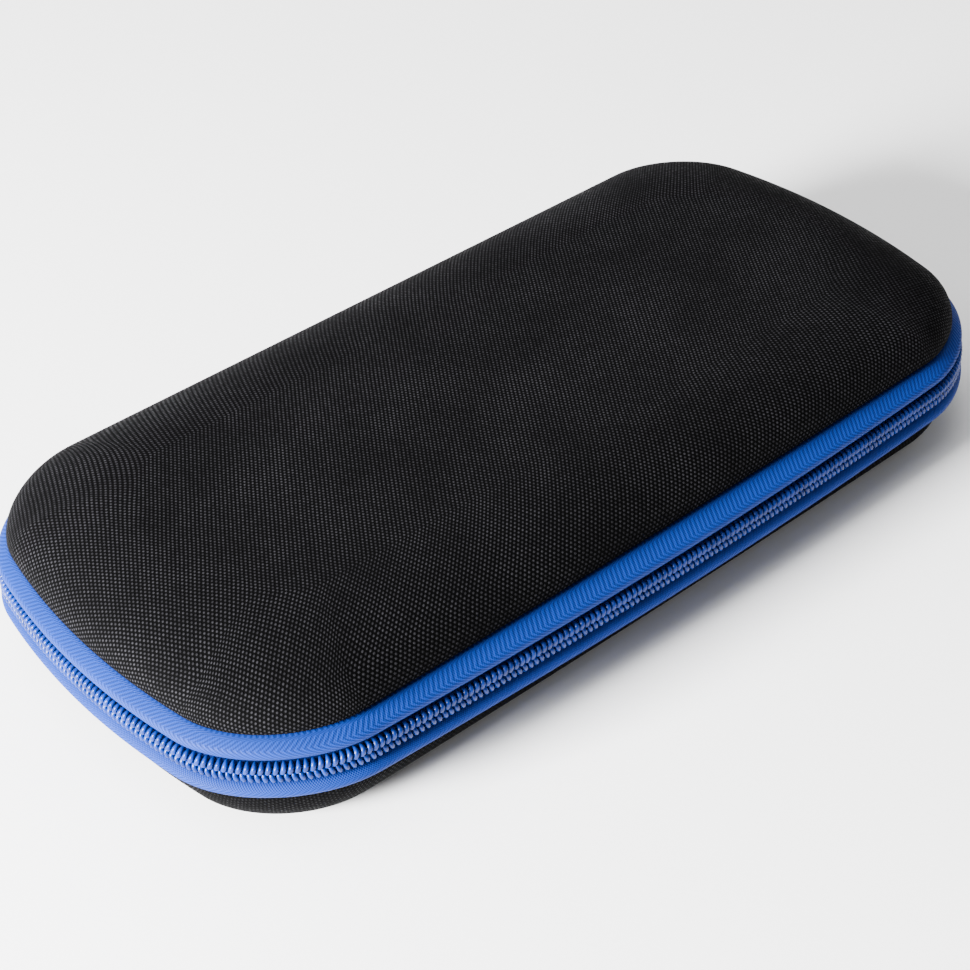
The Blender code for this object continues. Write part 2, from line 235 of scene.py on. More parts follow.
def zip_tape_cloth():
    """Blue woven tape: herringbone on its outer part and a fine plain weave beside the coil, with painted
    shade where it runs behind the coil.
    """
    n = Nodes("zip_tape_cloth")
    vector, u, v = n.cloth_axes()
    band = 2.3 * MM
    shifted = n.math("FLOORED_MODULO", n.math("ADD", v, 0.7 * MM), 2 * band)
    zigzag = n.math("ABSOLUTE", n.math("SUBTRACT", shifted, band))
    slope = n.math("ADD", n.math("DIVIDE", u, 1.25 * MM), n.math("DIVIDE", zigzag, 0.66 * MM))
    twill = n.ramp(n.math("ABSOLUTE", n.math("SUBTRACT", n.math("FRACT", slope), 0.5)), 0.08, 0.42)
    fine_u = n.math("SINE", n.math("MULTIPLY", u, 2 * math.pi / (0.52 * MM)))
    fine_v = n.math("SINE", n.math("MULTIPLY", v, 2 * math.pi / (0.46 * MM)))
    plain = n.ramp(n.math("MULTIPLY", fine_u, fine_v), -1.0, 1.0)
    herring = n.ramp(v, 4.0 * MM, 4.8 * MM)
    diagonal = n.math("ADD", n.math("MULTIPLY", twill, 0.6), n.math("MULTIPLY", plain, 0.4))
    inner_part = n.math("MULTIPLY", n.math("SUBTRACT", 1.0, herring), plain)
    mixed = n.math("ADD", n.math("MULTIPLY", herring, diagonal), inner_part)
    patch = n.noise(vector, 60.0, 3.0)
    tone = n.math("ADD", n.math("MULTIPLY", mixed, 0.80), n.math("MULTIPLY", patch, 0.25))
    colour = n.mix(n.ramp(tone, 0.05, 0.95), shade(BLUE, 0.60), shade(BLUE, 1.55))
    # Painted shade: the tape is coloured darker near the coil's line, where it runs in behind the coil and
    # shows between the loops.
    painted_coil_shade_fade = n.ramp(v, 2.7 * MM, 3.7 * MM)
    colour = n.mix(painted_coil_shade_fade, shade(BLUE, 0.55), colour)
    normal = n.bump(mixed, 0.11 * MM, 0.7)
    n.surface(Base_Color=colour, Roughness=n.ramp(mixed, 0.0, 1.0, 0.72, 0.52), Normal=normal)
    return n.surface(
        Sheen_Weight=0.03, Sheen_Roughness=0.4, Sheen_Tint=(0.3, 0.5, 1.0),
        Specular_IOR_Level=0.10)


def coil_nylon():
    """Satin blue nylon monofilament."""
    n = Nodes("coil_nylon")
    vector = n.object_vector()
    patch = n.noise(vector, 220.0, 2.0)
    colour = n.mix(n.ramp(patch, 0.3, 0.7), shade(BLUE, 0.75), shade(BLUE, 1.2))
    streak = n.noise(vector, 2600.0, 2.0, 0.6)
    normal = n.bump(streak, 0.03 * MM, 0.5)
    n.surface(Base_Color=colour, Roughness=n.ramp(patch, 0.2, 0.8, 0.20, 0.32), Normal=normal)
    return n.surface(Specular_IOR_Level=0.20, Coat_Weight=0.03, Coat_Roughness=0.25)


def brushed_knit():
    """Black brushed knit that lines both shells."""
    n = Nodes("brushed_knit")
    vector = n.object_vector()
    pile = n.noise(vector, 1900.0, 4.0, 0.7)
    patch = n.noise(vector, 45.0, 3.0)
    colour = n.mix(n.ramp(patch, 0.3, 0.7), (0.005, 0.005, 0.0055), (0.010, 0.010, 0.011))
    colour = n.mix(n.ramp(pile, 0.35, 0.75), colour, (0.020, 0.020, 0.022))
    normal = n.bump(pile, 0.3 * MM, 0.8)
    n.surface(Base_Color=colour, Roughness=n.ramp(pile, 0.2, 0.8, 0.98, 0.82), Normal=normal)
    return n.surface(
        Sheen_Weight=0.006, Sheen_Roughness=0.4, Sheen_Tint=(0.7, 0.7, 0.75),
        Specular_IOR_Level=0.04)


def ribbed_elastic(name, direction, pitch):
    """Black elastic or binding tape with ribs across one object axis."""
    n = Nodes(name)
    vector = n.object_vector()
    split = n.add("ShaderNodeSeparateXYZ", {"Vector": vector})
    ribs = n.math("SINE", n.math("MULTIPLY", split.outputs[direction], 2 * math.pi / pitch))
    thread = n.noise(vector, 1500.0, 3.0, 0.7)
    height = n.math("ADD", n.math("MULTIPLY", ribs, 0.4), n.math("MULTIPLY", thread, 0.6))
    # Painted shade and highlight: the colour follows the rib height, darker in the grooves and lighter on the
    # rib tops, mixed with random thread tone.
    colour = n.mix(n.ramp(height, -0.2, 0.8), (0.003, 0.003, 0.0035), (0.018, 0.018, 0.020))
    roughness, normal = n.ramp(thread, 0.2, 0.8, 0.9, 0.65), n.bump(height, 0.2 * MM, 0.8)
    n.surface(Base_Color=colour, Roughness=roughness, Normal=normal)
    return n.surface(
        Sheen_Weight=0.004, Sheen_Roughness=0.5, Sheen_Tint=(0.7, 0.7, 0.75),
        Specular_IOR_Level=0.06)


def enamelled_zinc():
    """Black enamel over zinc, worn bright where it rubs."""
    n = Nodes("enamelled_zinc")
    vector = n.object_vector()
    rubbed = n.math("MULTIPLY", n.ramp(n.noise(vector, 520.0, 5.0, 0.7), 0.66, 0.74), 0.55)
    colour = n.mix(rubbed, (0.006, 0.006, 0.0065), (0.12, 0.12, 0.125))
    speckle = n.noise(vector, 2400.0, 2.0)
    roughness = n.ramp(speckle, 0.2, 0.8, 0.28, 0.42)
    n.surface(Base_Color=colour, Roughness=roughness, Metallic=n.ramp(rubbed, 0.0, 1.0, 0.0, 0.8))
    return n.surface(
        Normal=n.bump(speckle, 0.04 * MM, 0.5), Coat_Weight=0.08, Coat_Roughness=0.2,
        Specular_IOR_Level=0.3)


def net_yarn():
    """Black netting yarn with fine fibres."""
    n = Nodes("net_yarn")
    vector = n.object_vector()
    fibre = n.noise(vector, 3000.0, 3.0, 0.7)
    colour = n.mix(fibre, (0.005, 0.005, 0.006), (0.028, 0.028, 0.030))
    roughness, normal = n.ramp(fibre, 0.2, 0.8, 0.7, 0.5), n.bump(fibre, 0.1 * MM, 0.7)
    n.surface(Base_Color=colour, Roughness=roughness, Normal=normal)
    return n.surface(Specular_IOR_Level=0.08)


def pale_floor():
    """Plain, nearly white floor with faint grain."""
    n = Nodes("pale_floor")
    grain = n.noise(n.object_vector(), 900.0, 2.0)
    colour = n.mix(grain, (0.93, 0.93, 0.93), (0.96, 0.96, 0.96))
    return n.surface(Base_Color=colour, Roughness=0.9, Specular_IOR_Level=0.1)


# ---------------------------------------------------------------- meshes

def outline(inset, bows, closed=True):
    """Plan points of the case outline, clockwise from the right end of the back round the front."""
    radius = RADIUS - inset + 0.5 * max(0.0, inset - PARALLEL_INSET)
    half_x, half_y = HALF_X - inset, HALF_Y - inset
    cx, cy = half_x - radius, half_y - radius
    parts = []
    turn = np.linspace(0.0, math.pi / 2, CORNER_STEPS + 1)
    corners = ((cx, cy, math.pi / 2), (cx, -cy, 0.0), (-cx, -cy, -math.pi / 2), (-cx, cy, -math.pi))
    straights = (END_STEPS, SIDE_STEPS, END_STEPS, SIDE_STEPS if closed else 0)
    for i, ((x, y, start), steps) in enumerate(zip(corners, straights)):
        angle = start - turn
        arc = np.column_stack([x + radius * np.cos(angle), y + radius * np.sin(angle)])
        parts.append(arc)
        if not steps:
            continue
        following = corners[(i + 1) % 4]
        fx, fy, angle = following
        end = np.array([fx + radius * math.cos(angle), fy + radius * math.sin(angle)])
        share = np.linspace(0.0, 1.0, steps + 1)[1:-1, None]
        parts.append(arc[-1] + (end - arc[-1]) * share)
    points = np.vstack(parts)
    u, v = points[:, 0] / half_x, points[:, 1] / half_y
    front = np.where(v < 0, bows[1], 0.0)
    x = points[:, 0] * (1 + bows[0] / half_x * (1 - v * v))
    y = points[:, 1] * (1 + front / half_y * (1 - u * u))
    return np.column_stack([x, y])


def rim(inset, closed=True):
    """The shells' rim outline, moved inward by inset."""
    return outline(TAPE_INSET + inset, RIM_BOWS, closed)


def zip_line(inset, closed=False):
    """The zip's outline at its crest, moved inward by inset."""
    return outline(inset, ZIP_BOWS, closed)


def back_run(inset, x0, x1, steps=60):
    """Plan points of a straight stretch beside the spine, at one inset from the zip's crest."""
    x = np.linspace(x0, x1, steps + 1)
    return np.column_stack([x, np.full_like(x, HALF_Y - inset)])


def normals_of(points, closed):
    """Unit outward normals of clockwise plan points."""
    if closed:
        along = np.roll(points, -1, 0) - np.roll(points, 1, 0)
    else:
        along = np.gradient(points, axis=0)
    along /= np.linalg.norm(along, axis=1)[:, None]
    return np.column_stack([-along[:, 1], along[:, 0]])


def lengths_of(points):
    """Length run from the first point to each point."""
    steps = np.linalg.norm(np.diff(points, axis=0), axis=1)
    return np.concatenate([[0.0], np.cumsum(steps)])


def make(name, points, faces, material, body, slot, weave=None, replaces=(), sharp=60):
    """One finished piece: mesh, material and body."""
    mesh = bpy.data.meshes.new(name)
    mesh.from_pydata([tuple(p) for p in points], [], faces)
    mesh.update()
    if weave is not None:
        layer = mesh.attributes.new("weave", "FLOAT_VECTOR", "POINT")
        flat = np.zeros((len(points), 3), np.float32)
        flat[:, :2] = weave
        layer.data.foreach_set("vector", flat.ravel())
    obj = bpy.data.objects.new(name, mesh)
    bpy.context.scene.collection.objects.link(obj)
    outward(obj)
    return place(obj, material, body, slot, replaces, sharp)


def place(obj, material, body, slot, replaces, sharp=60):
    """Gives a piece its shading, material and body, and the CAD nodes that it stands for."""
    obj.data.shade_smooth()
    obj.data.set_sharp_from_angle(angle=math.radians(sharp))
    obj.data.materials.clear()
    obj.data.materials.append(material)
    if body is not None:
        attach(obj, body)
    if replaces:
        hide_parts(*replaces)
    return obj


def bake(obj):
    """Makes a piece's modifiers part of its mesh."""
    bpy.context.view_layer.update()
    baked = bpy.data.meshes.new_from_object(obj.evaluated_get(bpy.context.evaluated_depsgraph_get()))
    obj.modifiers.clear()
    obj.data = baked


def outward(obj):
    """Turns a closed mesh's faces outward if its signed volume says that they face in."""
    mesh = obj.data
    mesh.calc_loop_triangles()
    corners = np.array([mesh.vertices[i].co for t in mesh.loop_triangles for i in t.vertices])
    corners = corners.reshape(-1, 3, 3)
    volume = np.einsum("ij,ij->i", corners[:, 0], np.cross(corners[:, 1], corners[:, 2])).sum()
    if volume < 0:
        mesh.flip_normals()


def grid_faces(rows, columns, wrap_rows, wrap_columns):
    """Four-sided faces over a grid of points, joined round where wrapping is asked for."""
    faces = []
    for i in range(rows if wrap_rows else rows - 1):
        j = (i + 1) % rows
        for k in range(columns if wrap_columns else columns - 1):
            m = (k + 1) % columns
            faces.append((i * columns + k, i * columns + m, j * columns + m, j * columns + k))
    return faces


def crown_rings(edge, z, swell, count=9):
    """Rings that close a flat crown towards its middle, swelling it slightly."""
    rings = []
    for i in range(count):
        share = 1.0 - (i / count) ** 1.3
        rings.append((edge * share, z + swell * (1 - share ** 2)))
    return rings[::-1]


def dome(rise, run, waist, direction, sink=0.0, steps=22):
    """Quarter-ellipse levels (inset, z) from crown to waist, sunk evenly along their normals."""
    angle = np.linspace(math.pi / 2, 0.0, steps + 1)
    c, s = np.cos(angle), np.sin(angle)
    length = np.hypot(c * rise, s * run)
    return run * (1 - c) + sink * c * rise / length, waist + direction * (rise * s - sink * s * run / length)


def bowl(name, levels, crown, swell, inner_levels, inner_swell, material, body, slot, replaces):
    """A moulded shell or lining as one closed mesh, with the two sides of its flat piece.

    It runs from the outer crown down the outer side, round the rim and up the inner side to the inner crown.
    """
    direction = 1 if crown > ZIP_Z else -1
    rings, weave = [], []
    edge = rim(levels[0][0])
    for points, z in crown_rings(edge, crown, direction * swell):
        rings.append(np.column_stack([points, np.full(len(points), z)]))
        weave.append(points)
    normal = normals_of(edge, True)
    last = np.array([levels[0][0], levels[0][1]])
    travelled = 0.0
    for inset, z in list(levels[1:]) + list(inner_levels):
        travelled += math.hypot(inset - last[0], z - last[1])
        last = np.array([inset, z])
        points = rim(inset)
        rings.append(np.column_stack([points, np.full(len(points), z)]))
        weave.append(edge + normal * travelled)
    inner_edge = rim(inner_levels[-1][0])
    for points, z in crown_rings(inner_edge, inner_levels[-1][1], direction * inner_swell)[::-1][1:]:
        rings.append(np.column_stack([points, np.full(len(points), z)]))
        weave.append(points)
    count = len(edge)
    faces = grid_faces(len(rings), count, False, True)
    points = np.vstack(rings)
    weave = np.vstack(weave)
    middle = len(points)
    inner_crown = inner_levels[-1][1] + direction * inner_swell
    points = np.vstack([points, [0, 0, crown + direction * swell], [0, 0, inner_crown]])
    weave = np.vstack([weave, [0, 0], [0, 0]])
    start = (len(rings) - 1) * count
    for k in range(count):
        m = (k + 1) % count
        faces.append((middle, m, k))
        faces.append((middle + 1, start + k, start + m))
    piece = make(name, points, faces, material, body, slot, weave, replaces)
    return piece, [float(side) for side in np.ptp(weave[: len(weave) // 2], axis=0)]


def shell(name, direction, crown, run, material, lining_material, trim, body):
    """The moulded shell, its lining and the binding, for the lid (direction 1) or the base (-1)."""
    edge = ZIP_Z + direction * (SEAM_RISE + GAP)
    waist = edge + direction * WAIST_RISE
    rise = abs(crown - waist)
    outer = list(zip(*dome(rise, run, waist, direction)))
    lip = [(0.15 * MM, edge + direction * 0.7 * MM), (0.5 * MM, edge + direction * 0.25 * MM)]
    lip.append((1.1 * MM, edge))
    inner = list(zip(*dome(rise, run, waist, direction, WALL)))[::-1]
    swell = CROWN_SWELL if direction > 0 else BASE_SINK
    inside = lip + [(WALL, edge)] + inner
    moulded, _ = bowl(name, outer, crown, swell, inside, 0.0, material, body, "shell", (body + "_shell",))
    lining_out = list(zip(*dome(rise, run, waist, direction, WALL + GAP)))
    lining_in = list(zip(*dome(rise, run, waist, direction, WALL + GAP + LINING)))[::-1]
    top, replaces = lining_out[0][1], (body + "_lining",)
    velour, cut = bowl(
        body + "_velour", lining_out, top, 0.0, lining_in, 0.0, lining_material, body, "lining", replaces)
    binding(direction, trim, body)


def binding(direction, material, body):
    """Ribbed binding sewn over the seam on the inside, with a round section."""
    turn = np.linspace(0, 2 * math.pi, 12, endpoint=False)
    middle_in, middle_z = WALL + 1.6 * MM, ZIP_Z + direction * (SEAM_RISE + 0.1 * MM)
    rings, weave = [], []
    for angle in turn:
        points = rim(middle_in + 0.58 * MM * math.cos(angle))
        z = middle_z + 1.65 * MM * math.sin(angle)
        rings.append(np.column_stack([points, np.full(len(points), z)]))
        weave.append(np.column_stack([np.arange(len(points)) * MM, np.full(len(points), z)]))
    faces = grid_faces(len(rings), len(rings[0]), True, True)
    points, weave, replaces = np.vstack(rings), np.vstack(weave), (body + "_rim_binding",)
    return make(body + "_binding", points, faces, material, body, "trim", weave, replaces)


def tape_levels(bulge, steps=26):
    """(share of the way from rim to zip outline, height, outward bulge) of a tape's outside."""
    t = np.linspace(0.0, 1.0, steps + 1)
    share = np.clip(t / 0.25, 0, 1)
    share = share * share * (3 - 2 * share)
    z = (SEAM_RISE - 0.1 * MM) * (1 - t) + 0.25 * MM * t
    out = bulge * np.sin(math.pi * np.clip(t / 0.68, 0, 1)) ** 0.75
    return share, z, out


def tape_strip(name, direction, bulge, rim_path, zip_path, material, body, replaces):
    """One stretch of tape: tucked in under the shell's rim, bulging outside, flat behind the coil."""
    outside = [(rim_path(TAPE_TUCK), SEAM_RISE - 0.05 * MM), (rim_path(0.9 * MM), SEAM_RISE - 0.05 * MM)]
    share, z, out = tape_levels(bulge)
    for a, h, b in zip(share, z, out):
        start, end = rim_path(0.35 * MM - b), zip_path(TAPE_INSET - b)
        outside.append((start + (end - start) * a, h))
    inside = []
    for a, h, b in zip(share[::-1], z[::-1], out[::-1]):
        start, end = rim_path(0.35 * MM + TAPE_THICK - b), zip_path(TAPE_INSET + TAPE_THICK - b)
        inside.append((start + (end - start) * a, min(h, SEAM_RISE - TAPE_THICK)))
    inside += [(rim_path(1.5 * MM), SEAM_RISE - TAPE_THICK), (rim_path(TAPE_TUCK), SEAM_RISE - TAPE_THICK)]
    section = outside + inside
    along = lengths_of(outside[-1][0])
    rings = [np.column_stack([points, np.full(len(points), ZIP_Z + direction * h)]) for points, h in section]
    weave = []
    for (points, h), ring in zip(section, rings):
        steps = max(0.25 * MM, h) if h < SEAM_RISE - 0.2 * MM else h + 1.0 * MM
        weave.append(np.column_stack([along, np.full(len(along), steps)]))
    columns = len(rings[0])
    faces = grid_faces(len(rings), columns, True, False)
    faces.append(tuple(i * columns for i in range(len(rings))))
    faces.append(tuple((i + 1) * columns - 1 for i in range(len(rings)))[::-1])
    tape = make(name, np.vstack(rings), faces, material, body, "zip_tape", np.vstack(weave), replaces)


def tube(centre, half_sizes, side, count=LOOP_SIDES):
    """Points of a bent tube, ring by ring. half_sizes are its radii at each step, the first along side."""
    along = np.gradient(centre, axis=0)
    along /= np.linalg.norm(along, axis=1)[:, None]
    points = []
    for middle, forward, (wide, thick) in zip(centre, along, half_sizes):
        across = side - forward * side.dot(forward)
        across /= np.linalg.norm(across)
        over = np.cross(forward, across)
        for angle in np.linspace(0, 2 * math.pi, count, endpoint=False):
            points.append(middle + across * wide * math.cos(angle) + over * thick * math.sin(angle))
    return np.array(points)


def tube_faces(rings, count=LOOP_SIDES):
    """Side and end faces of a bent tube."""
    ends = [tuple(range(count))[::-1], tuple(range((rings - 1) * count, rings * count))]
    return grid_faces(rings, count, False, True) + ends


def tooth(direction):
    """One coil loop's outside in local (along, out, up) axes, as a bent tube."""
    centre = np.array([
        (-0.34, -2.00, 2.40), (-0.34, -1.30, 2.56), (-0.32, -0.76, 2.30),
        (-0.22, -0.48, 1.75), (-0.06, -0.42, 1.15), (0.10, -0.52, 0.60),
        (0.22, -0.84, 0.15), (0.28, -1.24, -0.30), (0.30, -1.70, -0.50)]) * MM
    width = np.array([0.36, 0.46, 0.54, 0.59, 0.61, 0.57, 0.48, 0.40, 0.34]) * MM
    points = tube(centre, np.column_stack([width, width]), np.array([1.0, 0.0, 0.0]))
    points[:, 2] *= direction * LOOP_SQUASH
    points[:, 1] += 0.2 * MM
    return points


def coil(name, direction, path, offset, material, body, replaces):
    """A row of coil loops along a path, half a pitch off the other row."""
    template = tooth(direction)
    reach = lengths_of(path)
    normal = normals_of(path, False)
    count = int(reach[-1] / PITCH)
    spare = (reach[-1] - count * PITCH) / 2
    spots = spare + PITCH * (np.arange(count) + FIRST_LOOP + offset)
    x, y = (np.interp(spots, reach, path[:, i]) for i in (0, 1))
    nx, ny = (np.interp(spots, reach, normal[:, i]) for i in (0, 1))
    out = np.column_stack([nx, ny]) / np.hypot(nx, ny)[:, None]
    forward = np.column_stack([out[:, 1], -out[:, 0]])
    ahead, outwards = template[None, :, 0, None], template[None, :, 1, None]
    plan = np.column_stack([x, y])[:, None] + ahead * forward[:, None] + outwards * out[:, None]
    height = np.broadcast_to(ZIP_Z + template[:, 2], plan.shape[:2])[..., None]
    points = np.concatenate([plan, height], axis=2).reshape(-1, 3)
    one = tube_faces(len(template) // LOOP_SIDES)
    faces = [tuple(i + k * len(template) for i in face) for k in range(count) for face in one]
    return make(name, points, faces, material, body, "zip_coil", None, replaces, sharp=80)


def build_zip(cloth, nylon):
    """Both tapes and both coils, with their straight ends beside the spine."""
    start, end = TAPE_END_X, CORNER_X
    for level, direction, body in (("upper", 1, "lid"), ("lower", -1, "base")):
        bulge = UPPER_BULGE if direction > 0 else LOWER_BULGE
        open_rim = lambda inset: rim(inset, False)
        replaces = (f"{level}_zip_tape",)
        tape_strip(f"{level}_tape", direction, bulge, open_rim, zip_line, cloth, body, replaces)
        offset = 0.0 if direction > 0 else 0.5
        coil(f"{level}_coil", direction, zip_line(0.0), offset, nylon, body, (f"{level}_zip_coil",))
        for side, x0, x1 in (("right", start, end - GAP), ("left", -end + GAP, -start)):
            run = lambda inset: back_run(inset, x0, x1)
            under = lambda inset: back_run(TAPE_INSET + inset, x0, x1)
            replaces = (f"{level}_tape_end_{side}",)
            tape_strip(f"{level}_tape_{side}", direction, bulge, under, run, cloth, "spine", replaces)
            coil_low, coil_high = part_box(f"{level}_coil_end_{side}")
            replaces = (f"{level}_coil_end_{side}",)
            path = back_run(0.0, coil_low.x, coil_high.x)
            coil(f"{level}_coil_{side}", direction, path, offset, nylon, "spine", replaces)


def slab(name, low, high, steps, bend, material, body, slot, replaces, weave_axes):
    """A soft-edged strap or strip as a rounded sheet. bend(u, v) gives its offset along its thin axis."""
    size = np.array(high) - np.array(low)
    thin = int(np.argmin(size))
    flat = [i for i in range(3) if i != thin]
    middle = (np.array(high) + np.array(low)) / 2
    u = np.linspace(-1, 1, steps[0] + 1)
    edge = np.linspace(-1, 1, steps[1] + 1)
    points, weave = [], []
    for sign in (1, -1):
        for a in u:
            for b in edge:
                fade = math.sqrt(max(0.0, 1 - max(0.0, (abs(b) - 0.93) / 0.07) ** 2)) * 0.8 + 0.2
                p = middle.copy()
                p[flat[0]] += a * size[flat[0]] / 2
                p[flat[1]] += b * size[flat[1]] / 2
                p[thin] += bend(a, b) + sign * fade * size[thin] / 2
                points.append(p)
                weave.append((p[weave_axes[0]], p[weave_axes[1]]))
    rows, columns = len(u), len(edge)
    front = grid_faces(rows, columns, False, False)
    back = [tuple(i + rows * columns for i in face)[::-1] for face in front]
    loop = list(range(columns)) + [r * columns + columns - 1 for r in range(1, rows)]
    loop += [(rows - 1) * columns + k for k in range(columns - 2, -1, -1)]
    loop += [r * columns for r in range(rows - 2, 0, -1)]
    under = rows * columns
    sides = [(b, a, a + under, b + under) for a, b in zip(loop, loop[1:] + loop[:1])]
    return make(name, points, front + back + sides, material, body, slot, np.array(weave), replaces)


def build_spine(nylon, knit):
    """Nylon spine with sewn hinge cloths to both shells, and its lining."""
    gentle = lambda a, b: 0.25 * MM * (1 - b * b)
    cover = slab(
        "spine_cover", SPINE_LOW, SPINE_HIGH, (72, 14),
        gentle, nylon, "spine", "shell", ("spine_fabric",), (0, 2))
    half = (SPINE_HIGH.x - SPINE_LOW.x) / 2 - 1.0 * MM
    y = SPINE_LOW.y - 0.2 * MM
    for level, direction, ends in (("upper", 1, ("spine", "lid")), ("lower", -1, ("base", "spine"))):
        start, finish = sorted(ZIP_Z + direction * (SEAM_RISE + rise) for rise in (-1.4 * MM, 2.4 * MM))
        low, high = Vector((-half, y - 0.15 * MM, start)), Vector((half, y + 0.45 * MM, finish))
        lean = lambda a, b: -0.1 * MM * b * direction
        flap = slab(f"{level}_hinge_cloth", low, high, (72, 12), lean, nylon, None, "shell", (), (0, 2))
        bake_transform(flap)
    low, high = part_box("spine_lining")
    lining = slab(
        "spine_velour", low, high, (72, 14), NO_BEND, knit, "spine", "lining", ("spine_lining",), (0, 2))


def arc(x, z, radius, start, finish, steps=8):
    """Points of an arc about (x, z), between two angles in degrees."""
    turn = np.radians(np.linspace(start, finish, steps + 1))
    return [(x + radius * math.cos(a), z + radius * math.sin(a)) for a in turn]


def metal_piece(name, prisms, material, body, replaces, rounding, slot_shape=None):
    """Metal from prisms along Y, with rounded edges and, if slot_shape is given, a slot.

    Each prism is (its anticlockwise (x, z) points, y0, y1), and so is slot_shape.
    """
    def solid(label, parts):
        points, faces = [], []
        for plan, y0, y1 in parts:
            first, count = len(points), len(plan)
            points += [(x, y, z) for y in (y0, y1) for x, z in plan]
            faces.append(tuple(range(first, first + count)))
            faces.append(tuple(range(first + count, first + 2 * count))[::-1])
            for k in range(count):
                m = (k + 1) % count
                faces.append((first + m, first + k, first + count + k, first + count + m))
        mesh = bpy.data.meshes.new(label)
        mesh.from_pydata(points, [], faces)
        obj = bpy.data.objects.new(label, mesh)
        bpy.context.scene.collection.objects.link(obj)
        return obj
    piece = solid(name, prisms)
    if slot_shape:
        cutter = solid(name + "_slot", [slot_shape])
        cut = piece.modifiers.new("slot", "BOOLEAN")
        cut.operation, cut.object = "DIFFERENCE", cutter
        bake(piece)
        bpy.data.objects.remove(cutter)
    bevel = piece.modifiers.new("rounding", "BEVEL")
    bevel.width, bevel.segments, bevel.limit_method = rounding, 3, "ANGLE"
    bake(piece)
    return place(piece, material, body, "slider_metal", replaces, 40)


def build_slider(metal):
    """Slider with tapered wings, side flanges, a post and a bent bridge, then its pull and the zip's stops."""
    x, z = (SLIDER_LOW.x + SLIDER_HIGH.x) / 2, ZIP_Z
    half, wide, tail = (SLIDER_HIGH.x - SLIDER_LOW.x) / 2, (SLIDER_HIGH.z - SLIDER_LOW.z) / 2, 4.15 * MM
    pull_low, pull_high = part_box("pull_tab")
    pull_y = (pull_low.y + pull_high.y) / 2
    top = pull_y - 1.2 * MM
    inner = SLIDER_LOW.y + 1.5 * MM
    under = top - 1.5 * MM
    wing = [(x - half, z - wide + 0.8 * MM), (x - half + 0.8 * MM, z - wide), (x - 1.0 * MM, z - wide)]
    wing += [(x + half - 0.5 * MM, z - tail), (x + half, z - tail + 0.6 * MM)]
    wing += [(px, 2 * z - pz) for px, pz in wing[::-1]] + [(x - half + 0.7 * MM, z)]
    prisms = [(wing, under, top), (wing, SLIDER_LOW.y, inner)]
    flange = 3.35 * MM
    rear = x + half - 0.5 * MM
    side = [(x - half + 0.5 * MM, z + flange), (rear, z + flange), (rear, z + tail - 0.1 * MM)]
    side += [(x - 1.0 * MM, z + wide - 0.1 * MM), (x - half + 0.8 * MM, z + wide - 0.1 * MM)]
    mirrored = [(px, 2 * z - pz) for px, pz in side[::-1]]
    seat = SPINE_LOW.y + 0.2 * MM
    prisms += [(side, seat, under + 0.2 * MM), (mirrored, seat, under + 0.2 * MM)]
    post = arc(x - half + 2.0 * MM, z, 0.35 * MM, 90, 270, 4)
    post += arc(x - half + 4.6 * MM, z, 0.35 * MM, -90, 90, 4)
    prisms.append((post, inner - 0.2 * MM, under + 0.2 * MM))
    metal_piece("slider_wings", prisms, metal, "slider", ("slider_body",), 0.28 * MM)
    turn = np.linspace(0.0, math.pi, BRIDGE_STEPS)
    rise = SLIDER_HIGH.y - 0.6 * MM - top
    arch = top - 0.2 * MM + (rise + 0.2 * MM) * np.sin(turn) ** 0.8
    line = np.column_stack([x - 3.8 * MM * np.cos(turn), arch, np.full(BRIDGE_STEPS, z)])
    widths = np.full(BRIDGE_STEPS, 1.5 * MM) - 0.35 * MM * np.sin(turn)
    sizes = np.column_stack([widths, np.full(BRIDGE_STEPS, 0.58 * MM)])
    points = tube(line, sizes, np.array([0.0, 0.0, 1.0]), BRIDGE_SIDES)
    faces = tube_faces(BRIDGE_STEPS, BRIDGE_SIDES)
    make("slider_bridge", points, faces, metal, "slider", "slider_metal")
    build_pull(pull_low, pull_high, pull_y, metal)
    for name in ("upper_top_stop", "lower_top_stop", "bottom_stop"):
        low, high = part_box(name)
        plan = [(low.x, low.z), (high.x, low.z), (high.x, high.z), (low.x, high.z)]
        metal_piece(name + "_crimp", [(plan, low.y, high.y)], metal, "spine", (name,), 0.4 * MM)


def build_pull(low, high, y, metal):
    """Pull tab with an eye for the bridge, a narrower neck and a ridged grip with a round end."""
    x, z = low.x, (low.z + high.z) / 2
    wide, neck, plate = (high.z - low.z) / 2, 2.7 * MM, 0.55 * MM
    shape = arc(high.x - wide, z, wide, -90, 90, 16)
    sides = ((13.5 * MM, wide), (11.0 * MM, neck), (9.0 * MM, neck), (7.2 * MM, wide))
    shape += [(x + along, z + out) for along, out in sides]
    shape += arc(x + 1.4 * MM, z + wide - 1.4 * MM, 1.4 * MM, 90, 180, 5)
    shape += [(px, 2 * z - pz) for px, pz in shape[17:][::-1]]
    bar, reach, gap = 1.4 * MM, 6.0 * MM, wide - 1.55 * MM
    eye = arc(x + reach - gap * 0.5, z - gap * 0.5, gap * 0.5, -90, 0, 4)
    eye += arc(x + reach - gap * 0.5, z + gap * 0.5, gap * 0.5, 0, 90, 4)
    eye += [(x + bar, z + gap), (x + bar, z - gap)]
    slot_shape = (eye, y - MM, y + MM)
    plates = [(shape, y - plate, y + plate)]
    metal_piece("pull_plate", plates, metal, "pull", ("pull_tab",), 0.25 * MM, slot_shape)
    ridges = []
    for i in range(RIDGES):
        middle, reach = x + (15.0 + 1.5 * i) * MM, wide - (0.9 + 0.06 * i * i) * MM
        plan = arc(middle, z - reach, 0.35 * MM, 180, 360, 4) + arc(middle, z + reach, 0.35 * MM, 0, 180, 4)
        ridges.append((plan, low.y + 0.02 * MM, high.y - 0.02 * MM))
    metal_piece("pull_grip", ridges, metal, "pull", (), 0.12 * MM)


